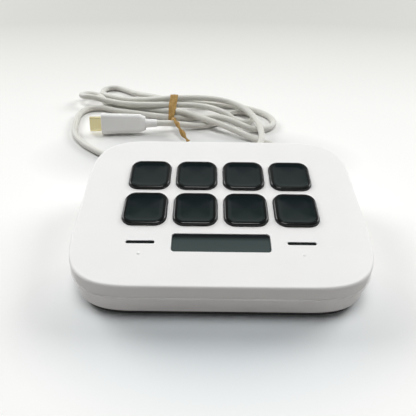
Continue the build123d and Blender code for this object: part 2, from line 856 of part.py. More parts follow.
with BuildPart() as relief:
    with BuildSketch(behind(back_wall - relief_flange_length)):
        Circle(relief_flange_radius)
    extrude(amount=relief_flange_length)
    with BuildSketch(behind(back_wall)):
        Circle(relief_neck_radius)
    extrude(amount=half_depth - back_wall + fit_gap)
    with BuildSketch(behind(half_depth + fit_gap)):
        Circle(relief_flange_radius)
    extrude(amount=relief_collar)
    with BuildSketch(behind(half_depth + fit_gap)):
        Circle(relief_base_radius)
    with BuildSketch(behind(relief_tip)):
        Circle(relief_tip_radius)
    loft()
    ring_pitch = (relief_length - relief_collar - fit_gap) / (relief_rings + 1)
    for ring in range(1, relief_rings + 1):
        with BuildSketch(behind(relief_tip - ring * ring_pitch)):
            Circle(relief_flange_radius)
            Circle(relief_tip_radius - relief_ring_depth / 2, mode=Mode.SUBTRACT)
        extrude(amount=relief_ring_depth * 2, mode=Mode.SUBTRACT)
    with BuildSketch(behind(back_wall - relief_flange_length)):
        Circle(cord_diameter / 2 + thread_gap)
    extrude(amount=relief_tip - back_wall + relief_flange_length, mode=Mode.SUBTRACT)
write(relief.part, "strain_relief")

with BuildPart() as inner_cord:
    with BuildSketch(behind(inner_cord_end)):
        Circle(cord_diameter / 2)
    extrude(amount=relief_tip - inner_cord_end)
    with BuildSketch(behind(cord_socket_back + socket_depth / 2)):
        with GridLocations(wire_pitch, wire_pitch, 2, 2):
            Circle(wire_radius)
    extrude(amount=inner_cord_end - cord_socket_back - socket_depth / 2)
write(inner_cord.part, "inner_cord")


# ---- lead outside the case ------------------------------------------------------------------
def add_tube(name, points, diameter):
    """Add a tube of straight runs and tangent arcs, each arc as large as its runs allow."""
    knots = [Vector(*point) for point in points]
    runs = [after - before for before, after in zip(knots, knots[1:])]
    radii = []
    for before, after in zip(runs, runs[1:]):
        half_turn = math.radians(before.get_angle(after)) / 2
        radii.append(0.45 * min(before.length, after.length) / math.tan(half_turn))
    with BuildLine() as route:
        FilletPolyline(*knots, radius=radii)
    with BuildSketch(Plane(origin=knots[0], z_dir=runs[0])) as section:
        Circle(diameter / 2)
    solid = sweep(section.sketch, path=route.wires()[0], mode=Mode.PRIVATE)
    add(solid)
    length = sum(edge.length for edge in route.edges())
    print(name, "radii", [round(radius, 1) for radius in radii], "length", round(length, 1))
    print(name, "volume / (section x length)", round(solid.volume / (section.sketch.area * length), 5))


with BuildPart() as lead:
    add_tube("cord_lead", [(0, relief_tip, exit_height)] + lead_route, cord_diameter)
write(lead.part, "cord_lead")

with BuildPart() as tail:
    add_tube("cord_tail", [plug_tail_tip, tail_bend] + tail_route, cord_diameter)
write(tail.part, "cord_tail")

with BuildPart() as hank:
    for lobe in (left_lobe, right_lobe):
        for x, y, half_width, half_height in lobe:
            with BuildSketch(Plane.YZ.offset(x)):
                with Locations((y, half_height)):
                    Ellipse(half_width, half_height)
        loft(ruled=True)
    with BuildSketch(Plane.YZ.offset(tie_across - waist_length / 2)) as waist:
        with Locations(*tied_strands):
            Circle(cord_diameter / 2)
        make_hull()
    extrude(amount=waist_length)
write(hank.part, "cord_hank")

with BuildPart() as tie:
    for grown, mode in ((tie_gap + tie_thickness, Mode.ADD), (tie_gap, Mode.SUBTRACT)):
        with BuildSketch(Plane.YZ.offset(tie_across - tie_width / 2)):
            with Locations(*tied_strands):
                Circle(cord_diameter / 2 + grown)
            make_hull()
        extrude(amount=tie_width, mode=mode)
    add_tube("cord_tie", tie_tail, tie_tail_diameter)
write(tie.part, "cord_tie")


# ---- plug --------------------------------------------------------------------------------
shoulder = overmould_length - overmould_shoulder
shoulder_width = overmould_width - overmould_narrowing
shoulder_thickness = overmould_thickness - overmould_thinning
with BuildPart() as plug:
    with BuildSketch(plug_plane):
        RectangleRounded(overmould_width, overmould_thickness, overmould_round)
    with BuildSketch(plug_plane.offset(shoulder)):
        RectangleRounded(shoulder_width, shoulder_thickness, overmould_round)
    loft()
    front_edge = plug.faces().sort_by(Axis(plug_plane.origin, plug_plane.z_dir))[0].edges()
    fillet(front_edge, overmould_edge)
    with BuildSketch(plug_plane.offset(shoulder)):
        RectangleRounded(shoulder_width, shoulder_thickness, overmould_round)
    with BuildSketch(plug_plane.offset(overmould_length)):
        RectangleRounded(overmould_tail_width, overmould_tail_thickness, overmould_round)
    loft()
    with BuildSketch(plug_plane.offset(overmould_length)):
        Circle(plug_tail_radius - fit_gap)
    with BuildSketch(plug_plane.offset(plug_end)):
        Circle(plug_tail_tip_radius)
    loft()
    with BuildSketch(plug_plane.offset(overmould_groove_back)):
        RectangleRounded(2 * overmould_width, 2 * overmould_width, overmould_round)
        RectangleRounded(
            shoulder_width - overmould_groove,
            shoulder_thickness - overmould_groove,
            overmould_round,
            mode=Mode.SUBTRACT,
        )
    extrude(amount=overmould_groove, mode=Mode.SUBTRACT)
write(plug.part, "plug_body")

with BuildPart() as plug_shell:
    outer = (plug_shell_width, plug_shell_thickness)
    inner = (plug_shell_width - 2 * plug_shell_wall, plug_shell_thickness - 2 * plug_shell_wall)
    with BuildSketch(plug_plane):
        RectangleRounded(*outer, outer[1] / 2 - thread_gap)
        RectangleRounded(*inner, inner[1] / 2 - thread_gap, mode=Mode.SUBTRACT)
    extrude(amount=-plug_shell_length)
write(plug_shell.part, "plug_shell")

with BuildPart() as plug_insert:
    with BuildSketch(plug_plane):
        filling = (inner[0] - 2 * thread_gap, inner[1] - 2 * thread_gap)
        RectangleRounded(*filling, filling[1] / 2 - thread_gap)
    extrude(amount=-tongue_length)
    with BuildSketch(plug_plane.offset(-tongue_length)):
        Rectangle(tongue_width, filling[1] - 2 * tongue_wall)
    extrude(amount=tongue_length - tongue_wall, mode=Mode.SUBTRACT)
write(plug_insert.part, "plug_insert")
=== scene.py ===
"""Looks of the wedge-shaped display keypad and its tied lead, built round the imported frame."""
import math

import bmesh
import bpy
from mathutils import Matrix, Vector, noise


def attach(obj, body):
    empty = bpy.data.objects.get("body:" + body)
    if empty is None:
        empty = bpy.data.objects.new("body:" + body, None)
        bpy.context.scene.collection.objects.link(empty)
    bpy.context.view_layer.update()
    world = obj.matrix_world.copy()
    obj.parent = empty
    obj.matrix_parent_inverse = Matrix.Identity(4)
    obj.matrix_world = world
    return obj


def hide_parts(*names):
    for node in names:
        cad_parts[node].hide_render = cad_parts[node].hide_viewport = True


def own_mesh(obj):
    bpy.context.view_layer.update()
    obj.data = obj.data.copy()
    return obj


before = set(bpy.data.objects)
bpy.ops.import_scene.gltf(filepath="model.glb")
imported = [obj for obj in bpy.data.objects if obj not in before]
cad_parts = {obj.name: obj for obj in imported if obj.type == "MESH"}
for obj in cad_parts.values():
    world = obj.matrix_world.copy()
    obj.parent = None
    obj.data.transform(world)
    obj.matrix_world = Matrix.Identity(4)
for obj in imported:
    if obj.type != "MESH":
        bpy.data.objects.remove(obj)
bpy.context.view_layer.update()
scene = bpy.context.scene


def metres(point):
    return Vector(point) / 1000


def add_object(name, data):
    piece = bpy.data.objects.new(name, data)
    scene.collection.objects.link(piece)
    return piece


# ---- camera, fitted to the case's outline and the key grid -----------------------------
camera_place = (-0.004662, -0.125429, 0.120298)
camera_right = Vector((0.9999, 0.0077, 0.0087)).normalized()
camera_forward = Vector((-0.0005, 0.7758, -0.6309)).normalized()
camera_up = camera_right.cross(camera_forward)
camera_data = bpy.data.cameras.new("camera")
camera_data.sensor_width = 36.0
camera_data.lens = 36.0
camera_data.clip_start = 0.002
camera = add_object("camera", camera_data)
turn = Matrix((camera_right, camera_up, -camera_forward)).transposed()
camera.matrix_world = Matrix.Translation(camera_place) @ turn.to_4x4()
scene.camera = camera

# ---- sizes in millimetres, as the solids have them -------------------------------------
slope = math.radians(7.25)
deck_height = 21.146
deck_across = Vector((1, 0, 0))
deck_normal = Vector((0, -math.sin(slope), math.cos(slope)))
deck_up = Vector((0, math.cos(slope), math.sin(slope)))
cord_diameter = 3.5
exit_point = (0.0, 52.093, 9.4)
lead_route = [
    exit_point, (0.0, 59.5, 9.4), (-3.2, 66.6, 6.4), (-12.6, 71.8, 3.0), (-27.0, 71.8, 1.9),
    (-41.0, 65.5, 1.9), (-56.0, 61.5, 1.9), (-66.5, 68.5, 1.9), (-76.0, 77.0, 1.9),
    # the arch round the plug
    (-82.5, 87.0, 1.9), (-84.8, 100.0, 1.9), (-85.8, 110.5, 1.9), (-82.0, 118.5, 1.9), (-73.5, 120.8, 1.9),
    (-64.5, 116.6, 1.9), (-54.5, 114.2, 1.9), (-43.5, 111.4, 1.9), (-33.0, 107.4, 2.7),
    # first strand in the tie, out to the right and round the small loop
    (-22.0, 106.2, 2.5), (-11.0, 106.8, 2.2), (-1.5, 103.8, 5.5), (7.0, 98.0, 6.2), (14.5, 95.0, 4.0),
    (21.5, 93.6, 1.9), (29.5, 94.2, 1.9), (34.8, 101.0, 1.9), (33.2, 110.2, 1.9), (26.8, 117.4, 1.9),
    (15.5, 123.9, 1.9), (3.0, 126.3, 1.9), (-9.0, 126.3, 3.0), (-20.0, 123.2, 5.4),
    # second strand in the tie, out to the upper left loop
    (-28.0, 121.4, 6.4), (-36.0, 127.0, 5.8), (-45.0, 134.2, 4.2), (-54.5, 141.8, 2.2), (-62.4, 147.8, 1.9),
    (-69.2, 152.2, 1.9), (-75.6, 150.6, 1.9), (-78.4, 144.2, 2.0), (-74.0, 138.0, 2.2), (-64.8, 133.4, 2.3),
    (-57.0, 129.8, 3.2), (-47.0, 125.4, 5.2), (-38.0, 121.6, 7.6), (-31.0, 119.2, 9.2),
    # top strand in the tie, out to the right and down behind the case
    (-22.0, 119.3, 9.7), (-10.0, 122.6, 8.4), (3.5, 122.4, 7.2), (13.5, 116.5, 6.6), (20.5, 107.0, 6.2),
    (24.0, 95.5, 5.9), (24.8, 85.0, 6.0), (24.8, 77.0, 5.8), (22.3, 70.4, 3.4), (21.2, 64.0, 2.0),
    (25.2, 58.8, 1.9), (31.6, 58.6, 1.9), (36.7, 63.4, 1.9), (37.2, 70.2, 1.9), (32.4, 75.6, 1.9),
    (23.8, 80.6, 1.9), (13.5, 87.2, 3.2), (2.5, 92.6, 5.6), (-8.0, 99.3, 5.7), (-18.0, 106.0, 6.3),
    # third strand in the tie, out to the far left loop
    (-28.0, 110.6, 5.2), (-38.0, 114.4, 3.2), (-49.5, 118.7, 1.9), (-61.0, 120.5, 1.9), (-69.3, 123.6, 1.9),
    (-73.2, 128.8, 1.9), (-75.0, 134.6, 1.9), (-80.2, 139.4, 2.2), (-86.4, 138.0, 3.6), (-88.8, 131.2, 5.4),
    (-85.0, 125.8, 7.0), (-78.4, 124.8, 7.0), (-72.6, 123.8, 5.8), (-66.0, 121.0, 5.6), (-58.5, 118.4, 5.6),
    (-48.0, 116.6, 6.0), (-37.0, 114.6, 7.0),
    # fourth strand in the tie, its short return under the others and on to the plug
    (-26.0, 114.2, 7.4), (-14.0, 113.6, 7.6), (-3.0, 110.4, 7.4), (5.0, 106.0, 6.4), (11.5, 101.4, 3.4),
    (18.6, 101.6, 1.9), (22.8, 107.4, 1.9), (21.0, 114.4, 1.9), (14.5, 117.5, 1.9), (8.2, 114.6, 1.9),
    (4.4, 107.6, 1.9), (-1.2, 100.4, 1.9), (-8.6, 97.4, 1.9), (-19.0, 96.6, 2.9), (-28.55, 92.99, 6.02),
    (-34.94, 92.65, 6.02),
]
# middles of the strands where the tie holds them (y, z)
tied_strands = [(106.6, 2.7), (110.2, 5.4), (114.3, 7.3), (118.5, 9.5), (121.8, 6.2)]
tie_across = -27.2
tie_tail = [
    (-26.9, 104.4, 2.3), (-25.8, 98.6, 5.8), (-24.0, 92.2, 8.1),
    (-21.4, 86.6, 6.2), (-18.8, 82.4, 3.6), (-16.2, 80.4, 1.2),
]


def route_curve(name, points, radius):
    """A curve of this radius in metres, or a bare line for 0, on one smooth open spline."""
    data = bpy.data.curves.new(name, "CURVE")
    data.dimensions = "3D"
    data.resolution_u = 10
    # the radius is on the points, because a curve's box counts it there whatever the bevel depth
    data.bevel_depth = 1.0 if radius else 0.0
    data.bevel_resolution = 7
    data.use_fill_caps = True
    spline = data.splines.new("NURBS")
    spline.points.add(len(points) - 1)
    for control, point in zip(spline.points, points):
        control.co = (*metres(point), 1)
        control.radius = radius
    spline.order_u = 3
    spline.use_endpoint_u = True
    return add_object(name, data)


# ---- the lead --------------------------------------------------------------------------
lead = route_curve("lead", lead_route, cord_diameter / 2000)
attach(lead, "case")
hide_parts("cord_lead", "cord_hank", "cord_tail")


# ---- materials -------------------------------------------------------------------------
class Shading:
    """A node tree, with short ways to add and join its nodes."""

    def __init__(self, tree):
        self.tree = tree

    def node(self, kind, **settings):
        made = self.tree.nodes.new(kind)
        for key, value in settings.items():
            setattr(made, key, value)
        return made

    def feed(self, socket, value):
        """Link another node's output to a socket, or write a number or colour on it."""
        if isinstance(value, bpy.types.NodeSocket):
            self.tree.links.new(value, socket)
        else:
            socket.default_value = value

    def maths(self, operation, one, other):
        made = self.node("ShaderNodeMath", operation=operation)
        self.feed(made.inputs[0], one)
        self.feed(made.inputs[1], other)
        return made.outputs["Value"]

    def mapped(self, value, source=(0.0, 1.0), target=(0.0, 1.0), curve="LINEAR"):
        """The value's place between the source's ends, carried over to the target's ends."""
        made = self.node("ShaderNodeMapRange", interpolation_type=curve)
        for socket, number in zip(("From Min", "From Max", "To Min", "To Max"), (*source, *target)):
            made.inputs[socket].default_value = number
        self.feed(made.inputs["Value"], value)
        return made.outputs["Result"]

    def axis(self, vector, name):
        made = self.node("ShaderNodeSeparateXYZ")
        self.feed(made.inputs["Vector"], vector)
        return made.outputs[name]

    def shown(self):
        """1 for what the camera sees, also mirrored or through glass, and 0 for light thrown about."""
        rays = self.node("ShaderNodeLightPath").outputs
        direct = self.maths("MAXIMUM", rays["Is Camera Ray"], rays["Is Glossy Ray"])
        return self.maths("MAXIMUM", direct, rays["Is Transmission Ray"])


class Finish(Shading):
    """A procedural material: a shader with mottled colour, uneven roughness and fine relief."""

    def __init__(self, name, roughness, **sockets):
        self.material = bpy.data.materials.new(name)
        self.material.use_nodes = True
        super().__init__(self.material.node_tree)
        self.shader = self.tree.nodes["Principled BSDF"]
        self.shader.inputs["Roughness"].default_value = roughness
        for socket, value in sockets.items():
            self.shader.inputs[socket.replace("_", " ")].default_value = value
        self.place = self.node("ShaderNodeTexCoord")

    def noise(self, scale, detail=3.0, stretch=(1, 1, 1)):
        mapping = self.node("ShaderNodeMapping")
        mapping.inputs["Scale"].default_value = stretch
        self.feed(mapping.inputs["Vector"], self.place.outputs["Object"])
        made = self.node("ShaderNodeTexNoise")
        made.inputs["Scale"].default_value = scale
        made.inputs["Detail"].default_value = detail
        self.feed(made.inputs["Vector"], mapping.outputs["Vector"])
        return made.outputs["Fac"]

    def ramp(self, factor, stops):
        made = self.node("ShaderNodeValToRGB")
        elements = made.color_ramp.elements
        while len(elements) < len(stops):
            elements.new(0.5)
        for element, (position, colour) in zip(elements, stops):
            element.position = position
            element.color = (*colour, 1)
        self.feed(made.inputs["Fac"], factor)
        return made.outputs["Color"]

    def blended(self, factor, one, other, way="MIX"):
        """Two colours blended: the first where the factor is 0."""
        made = self.node("ShaderNodeMix", data_type="RGBA", blend_type=way)
        self.feed(made.inputs["Factor"], factor)
        # a mix node has its two colours on sockets 6 and 7, and their blend on output 2
        self.feed(made.inputs[6], one)
        self.feed(made.inputs[7], other)
        return made.outputs[2]

    def measured(self, middle=(0, 0, 0), scale=(1, 1, 1)):
        """How far a point is from a middle, in stretched metres."""
        value = self.place.outputs["Object"]
        for operation, by in (("SUBTRACT", middle), ("MULTIPLY", scale)):
            made = self.node("ShaderNodeVectorMath", operation=operation)
            made.inputs[1].default_value = by
            self.feed(made.inputs[0], value)
            value = made.outputs["Vector"]
        length = self.node("ShaderNodeVectorMath", operation="LENGTH")
        self.feed(length.inputs[0], value)
        return length.outputs["Value"]

    def painted(self, colour):
        self.feed(self.shader.inputs["Base Color"], colour)
        return self

    def colour(self, stops, scale, detail=3.0, stretch=(1, 1, 1)):
        return self.painted(self.ramp(self.noise(scale, detail, stretch), stops))

    def roughness(self, low, high, scale):
        self.feed(self.shader.inputs["Roughness"], self.mapped(self.noise(scale), target=(low, high)))
        return self

    def grain(self, scale, strength, distance=0.0002):
        bump = self.node("ShaderNodeBump")
        bump.inputs["Strength"].default_value = strength
        bump.inputs["Distance"].default_value = distance
        self.feed(bump.inputs["Height"], self.noise(scale, 4.0))
        self.feed(self.shader.inputs["Normal"], bump.outputs["Normal"])
        return self


def tones(dark, light):
    return [(0.3, dark), (0.7, light)]


kraft_tones = [(0.25, (0.27, 0.15, 0.035)), (0.5, (0.4, 0.245, 0.07)), (0.8, (0.5, 0.34, 0.12))]

finishes = {
    "case_white": Finish("case_white", 0.42, Specular_IOR_Level=0.35)
    .colour(tones((0.875, 0.873, 0.862), (0.895, 0.893, 0.883)), 60)
    .roughness(0.38, 0.48, 90)
    .grain(2600, 0.08),
    "foot_rubber": Finish("foot_rubber", 0.8)
    .colour(tones((0.045, 0.044, 0.043), (0.06, 0.058, 0.057)), 220)
    .grain(1500, 0.3),
    "key_black": Finish("key_black", 0.16, Specular_IOR_Level=0.4)
    .colour(tones((0.0035, 0.0042, 0.0042), (0.005, 0.006, 0.006)), 120)
    .roughness(0.12, 0.2, 150),
    "membrane": Finish("membrane", 0.55, Transmission_Weight=0.25)
    .colour(tones((0.7, 0.7, 0.67), (0.78, 0.78, 0.75)), 180)
    .grain(1800, 0.12),
    "film": Finish("film", 0.4)
    .colour(tones((0.72, 0.72, 0.69), (0.78, 0.78, 0.76)), 140)
    .grain(900, 0.08),
    "display_glass": Finish("display_glass", 0.1)
    .colour(tones((0.012, 0.014, 0.016), (0.02, 0.024, 0.027)), 90)
    .roughness(0.07, 0.14, 120),
    "inner_black": Finish("inner_black", 0.6)
    .colour(tones((0.018, 0.018, 0.019), (0.028, 0.028, 0.029)), 160)
    .grain(1400, 0.2),
    "light_pipe": Finish("light_pipe", 0.25, Specular_IOR_Level=0.2)
    .colour(tones((0.009, 0.011, 0.011), (0.013, 0.016, 0.016)), 200)
    .roughness(0.2, 0.3, 150),
    "copper": Finish("copper", 0.35, Metallic=1.0)
    .colour(tones((0.62, 0.3, 0.17), (0.72, 0.38, 0.23)), 240)
    .grain(900, 0.1),
    "board": Finish("board", 0.4)
    .colour(tones((0.008, 0.09, 0.035), (0.012, 0.12, 0.05)), 300)
    .grain(1200, 0.15),
    "chip": Finish("chip", 0.5)
    .colour(tones((0.018, 0.018, 0.018), (0.03, 0.03, 0.03)), 400)
    .grain(2200, 0.2),
    "ribbon": Finish("ribbon", 0.3)
    .colour(tones((0.3, 0.1, 0.01), (0.38, 0.14, 0.015)), 150, 2, (1, 12, 1))
    .grain(700, 0.1),
    "steel": Finish("steel", 0.35, Metallic=1.0)
    .colour(tones((0.5, 0.5, 0.5), (0.62, 0.62, 0.61)), 300, 3, (1, 8, 1))
    .grain(1500, 0.12),
    "cord": Finish("cord", 0.42, Specular_IOR_Level=0.4)
    .colour(tones((0.66, 0.66, 0.61), (0.72, 0.72, 0.67)), 45)
    .roughness(0.36, 0.5, 120)
    .grain(1400, 0.12),
    "plug_white": Finish("plug_white", 0.45, Specular_IOR_Level=0.35)
    .colour(tones((0.87, 0.875, 0.86), (0.91, 0.915, 0.9)), 80)
    .roughness(0.38, 0.5, 140)
    .grain(2000, 0.12),
    "plug_metal": Finish("plug_metal", 0.26, Metallic=0.6)
    .colour(tones((0.98, 0.87, 0.46), (1.0, 0.91, 0.54)), 200)
    .roughness(0.17, 0.28, 260)
    .grain(1200, 0.05),
    # kraft paper round a wire: mottled brown with fibres along it
    "tie_paper": Finish("tie_paper", 0.85, Sheen_Weight=0.1)
    .colour(kraft_tones, 700, 5, (1, 0.5, 0.5))
    .grain(1600, 0.7, 0.0004),
}

# clear caps: dark and greener, with a painted reflection that makes them a little lighter towards the front
# of each key
cap = Finish("key_clear", 0.08, Specular_IOR_Level=0.32, Coat_Weight=0.15, Coat_Roughness=0.05)
cap_reflection_tones = [(0.4, (0.0075, 0.0165, 0.0155)), (0.56, (0.0065, 0.0125, 0.014))]
cap.painted(cap.ramp(cap.axis(cap.place.outputs["Generated"], "Y"), cap_reflection_tones)).roughness(0.06, 0.1, 130)
finishes["key_clear"] = cap

# information bar: grey-green glass over an unlit display, darker along its front edge, with a painted
# shadow of the recess's wall along its back edge
bar = Finish("lens", 0.14, Specular_IOR_Level=0.45)
bar_front_and_back = (-0.0238, -0.0156)
bar_tones_and_shadow = [
    (0.0, (0.012, 0.016, 0.017)), (0.09, (0.064, 0.083, 0.081)),
    (0.66, (0.055, 0.073, 0.072)), (0.86, (0.01, 0.013, 0.014)),
]
bar_place = bar.mapped(bar.axis(bar.place.outputs["Object"], "Y"), bar_front_and_back)
bar.painted(bar.ramp(bar_place, bar_tones_and_shadow)).roughness(0.1, 0.18, 110)
finishes["lens"] = bar

slot_of = {
    "top_cover": "case_white", "bottom_shell": "case_white", "base_foot": "foot_rubber",
    "ballast_plate": "steel", "case_screws": "steel", "small_screws": "steel", "key_membrane": "membrane",
    "contact_sheet": "film", "display_panel": "display_glass", "display_backlight": "film",
    "display_carrier": "inner_black", "display_ribbon": "ribbon", "info_lens": "lens",
    "info_display": "inner_black", "light_pipes": "light_pipe", "touch_pads": "copper",
    "front_board": "board", "status_leds": "film", "front_ribbon": "ribbon", "main_board": "board",
    "controller_chip": "chip", "memory_chip": "chip", "board_passives": "chip", "board_sockets": "film",
    "cord_clamp": "inner_black", "plug_body": "plug_white", "plug_shell": "plug_metal",
    "plug_insert": "inner_black",
}
for number in range(1, 9):
    slot_of[f"key_frame_{number}"] = "key_black"
    slot_of[f"key_cap_{number}"] = "key_clear"
    slot_of[f"key_domes_{number}"] = "membrane"
for name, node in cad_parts.items():
    node.data.materials.clear()
    # what isn't named above is a stretch of the lead
    node.data.materials.append(finishes[slot_of.get(name, "cord")].material)
lead.data.materials.append(finishes["cord"].material)


# ---- how mesh pieces are made ----------------------------------------------------------
def hull(points):
    """Convex outline of flat points, counter-clockwise."""
    ordered = sorted(points)
    halves = []
    for run in (ordered, ordered[::-1]):
        half = []
        for point in run:
            while len(half) > 1:
                (ax, ay), (bx, by) = half[-2], half[-1]
                if (bx - ax) * (point[1] - ay) - (by - ay) * (point[0] - ax) > 0:
                    break
                half.pop()
            half.append(point)
        halves.append(half[:-1])
    return halves[0] + halves[1]


def evened(outline, count):
    """The closed outline as this many points, evenly along it."""
    loop = [Vector(point) for point in outline]
    loop.append(loop[0])
    reach = [0.0]
    for a, b in zip(loop, loop[1:]):
        reach.append(reach[-1] + (b - a).length)
    result = []
    piece = 0
    for step in range(count):
        along = reach[-1] * step / count
        while reach[piece + 1] < along:
            piece += 1
        share = (along - reach[piece]) / (reach[piece + 1] - reach[piece])
        result.append(loop[piece].lerp(loop[piece + 1], share))
    return result


def angles(count):
    """Evenly spaced angles of a whole turn."""
    return [math.tau * step / count for step in range(count)]


def mesh_object(name, shape):
    """A smooth-shaded object from a bmesh, which is used up."""
    data = bpy.data.meshes.new(name)
    bmesh.ops.recalc_face_normals(shape, faces=shape.faces)
    shape.to_mesh(data)
    shape.free()
    for face in data.polygons:
        face.use_smooth = True
    return add_object(name, data)


def tube_piece(name, tubes, closed=False):
    """Skin each tube's rings of points, in millimetres, into one closed surface.

    A closed tube's last ring joins its first, and an open one's end rings are filled.
    """
    shape = bmesh.new()
    for rings in tubes:
        made = [[shape.verts.new(metres(point)) for point in ring] for ring in rings]
        count = len(made[0])
        pairs = zip(made, made[1:] + made[:1]) if closed else zip(made, made[1:])
        for one, other in pairs:
            for index in range(count):
                after = (index + 1) % count
                shape.faces.new((one[index], one[after], other[after], other[index]))
        if not closed:
            shape.faces.new(made[0][::-1])
            shape.faces.new(made[-1])
    return mesh_object(name, shape)


def settle(piece, body, slot):
    """Let a piece move with a body, and give it a slot's finish."""
    piece.data.materials.append(finishes[slot].material)
    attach(piece, body)


# ---- the tie ---------------------------------------------------------------------------
strand_gap = 0.15
band_width = 4.7
band_pinch = 1.5                       # narrower by this where the tail leaves it
pinch_place = Vector((104.6, 3.0))     # (y, z)
pinch_reach = 3.5
band_thickness = 0.42
band_wire = 0.22
band_lift = 0.28                       # of its middle, off the strands
band_crease = 0.16
lean_height = 7.0                      # where it stands straight, and over which it leans
lean_reach = 1.1
tail_width = 2.7
tail_thickness = 0.55
tail_wire = 0.32
tail_crease = 0.1
tail_twist = 0.42                      # radians a millimetre


def strip_section(width, thickness, wire):
    """Outline of a paper strip with a wire's ridge along its middle: (across, out)."""
    wire_reach = 0.55
    top = []
    for share in (-0.5, -0.42, -0.3, -0.16, -0.08, 0.0, 0.08, 0.16, 0.3, 0.42, 0.5):
        across = width * share
        top.append((across, thickness / 2 + wire * math.exp(-((across / wire_reach) ** 2))))
    return top + [(a, -b) for a, b in reversed(top)]


def band_rings():
    """Creased strip round the hull of the tied strands, leaning a little and pinched at the tail."""
    strand_reach = cord_diameter / 2 + strand_gap
    circle_points = [
        (y + strand_reach * math.cos(angle), z + strand_reach * math.sin(angle))
        for y, z in tied_strands
        for angle in angles(24)
    ]
    path = evened(hull(circle_points), 96)
    rings = []
    for step, point in enumerate(path):
        tangent = path[(step + 1) % len(path)] - path[step - 1]
        out = Vector((tangent.y, -tangent.x)).normalized()
        width = band_width - band_pinch * math.exp(-(((point - pinch_place).length / pinch_reach) ** 2))
        lean = lean_reach * (point.y - lean_height) / lean_height + 0.12 * math.sin(step * 0.31)
        ring = []
        for a, b in strip_section(width, band_thickness, band_wire):
            crease = band_crease * noise.noise(Vector((a * 1.3, step * 0.35, 2.0)))
            # its inside stays clear of the strands, and its outside clear of its inside
            side = out * max(b + band_lift + crease, 0.04 if b < 0 else 0.3)
            ring.append((tie_across + lean + a, point.x + side.x, point.y + side.y))
        rings.append(ring)
    return rings


def line_of(points):
    """Points along the smooth open spline with these control points, in millimetres."""
    guide = route_curve("tie_guide", points, 0.0)
    line = bpy.data.meshes.new_from_object(guide)
    result = [vertex.co * 1000 for vertex in line.vertices]
    bpy.data.objects.remove(guide)
    bpy.data.meshes.remove(line)
    return result


def tail_rings():
    """The strip's two ends twisted together, along the tail's line."""
    line = line_of(tie_tail)
    rings = []
    total = 0.0
    across = Vector((1, 0, 0))
    last = line[0]
    for index, point in enumerate(line):
        total += (point - last).length
        last = point
        before = line[max(index - 1, 0)]
        after = line[min(index + 1, len(line) - 1)]
        tangent = (after - before).normalized()
        across = (across - tangent * across.dot(tangent)).normalized()
        other = tangent.cross(across)
        twist = tail_twist * total
        side = across * math.cos(twist) + other * math.sin(twist)
        rise = other * math.cos(twist) - across * math.sin(twist)
        width = tail_width + 0.2 * math.sin(total * 1.1)
        ring = []
        for a, b in strip_section(width, tail_thickness, tail_wire):
            crease = tail_crease * noise.noise(Vector((a, total * 1.1, 5.0)))
            ring.append(point + side * a + rise * (b + crease))
        rings.append(ring)
    return rings


band = tube_piece("tie_band", [band_rings()], closed=True)
tail = tube_piece("tie_tail", [tail_rings()])
for piece in (band, tail):
    settle(piece, "case", "tie_paper")
    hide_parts("cord_tie")

# ---- clear dished key caps -------------------------------------------------------------
key_pitch = 18.94
key_block_up = 5.58      # middle of the key block, up the deck from the case's middle
cap_half = 6.93
cap_corner = 2.9
cap_edge = 0.95          # height of the cap's edge above the deck
cap_thickness = 3.9
step_depth = 0.14
step_inner = 0.76
step_reach = 0.21
bowl_depth = 0.26
# share of the way out from the cap's middle, and the height against its edge
cap_sides = [
    (0.985, -cap_thickness), (1.0, -cap_thickness + 0.15), (1.0, -0.14), (0.993, -0.04), (0.98, 0.0),
]
dish_shares = [
    0.96, 0.93, 0.9, 0.87, 0.84, 0.8, 0.76, 0.72, 0.68, 0.64, 0.6, 0.54, 0.46, 0.36, 0.24, 0.12, 0.03,
]


def key_middle(number):
    """Middle of a key's place on the deck."""
    row, column = divmod(number - 1, 4)
    across = (column - 1.5) * key_pitch
    up_slope = key_block_up + (0.5 - row) * key_pitch
    return Vector((across, 0, deck_height)) + deck_up * up_slope


def rounded_square(half, corner, per_corner):
    """Outline of a square with round corners, counter-clockwise."""
    outline = []
    for quarter, (sx, sy) in enumerate([(1, 1), (-1, 1), (-1, -1), (1, -1)]):
        x, y = sx * (half - corner), sy * (half - corner)
        for step in range(per_corner + 1):
            angle = math.pi / 2 * (quarter + step / per_corner)
            outline.append((x + corner * math.cos(angle), y + corner * math.sin(angle)))
    return outline


def dish_height(share):
    """A shallow bowl inside a soft step a little way in from the edge."""
    step = min(max((share - step_inner) / step_reach, 0.0), 1.0)
    return -step_depth * (1 - step * step * (3 - 2 * step)) - bowl_depth * (1 - share * share)


cap_square = evened(rounded_square(cap_half, cap_corner, 10), 72)
cap_outline = [deck_across * x + deck_up * y for x, y in cap_square]
cap_levels = cap_sides + [(share, dish_height(share)) for share in dish_shares]
for number in range(1, 9):
    middle = key_middle(number) + deck_normal * cap_edge
    rings = [
        [middle + spot * share + deck_normal * height for spot in cap_outline]
        for share, height in cap_levels
    ]
    key_cap = tube_piece(f"cap_{number}", [rings])
    settle(key_cap, f"key_{number}", "key_clear")
    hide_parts(f"key_cap_{number}")

# ---- pale line in the seam -------------------------------------------------------------
case_width = 107.0
case_depth = 76.8
corner_reach = 23.6      # of the corner's curve along each side
corner_pull = 0.75       # how far its handles go towards the corner
seam_depth = 5.8         # below the deck, at the case's middle
bead_out = 0.42
bead_up = 0.34


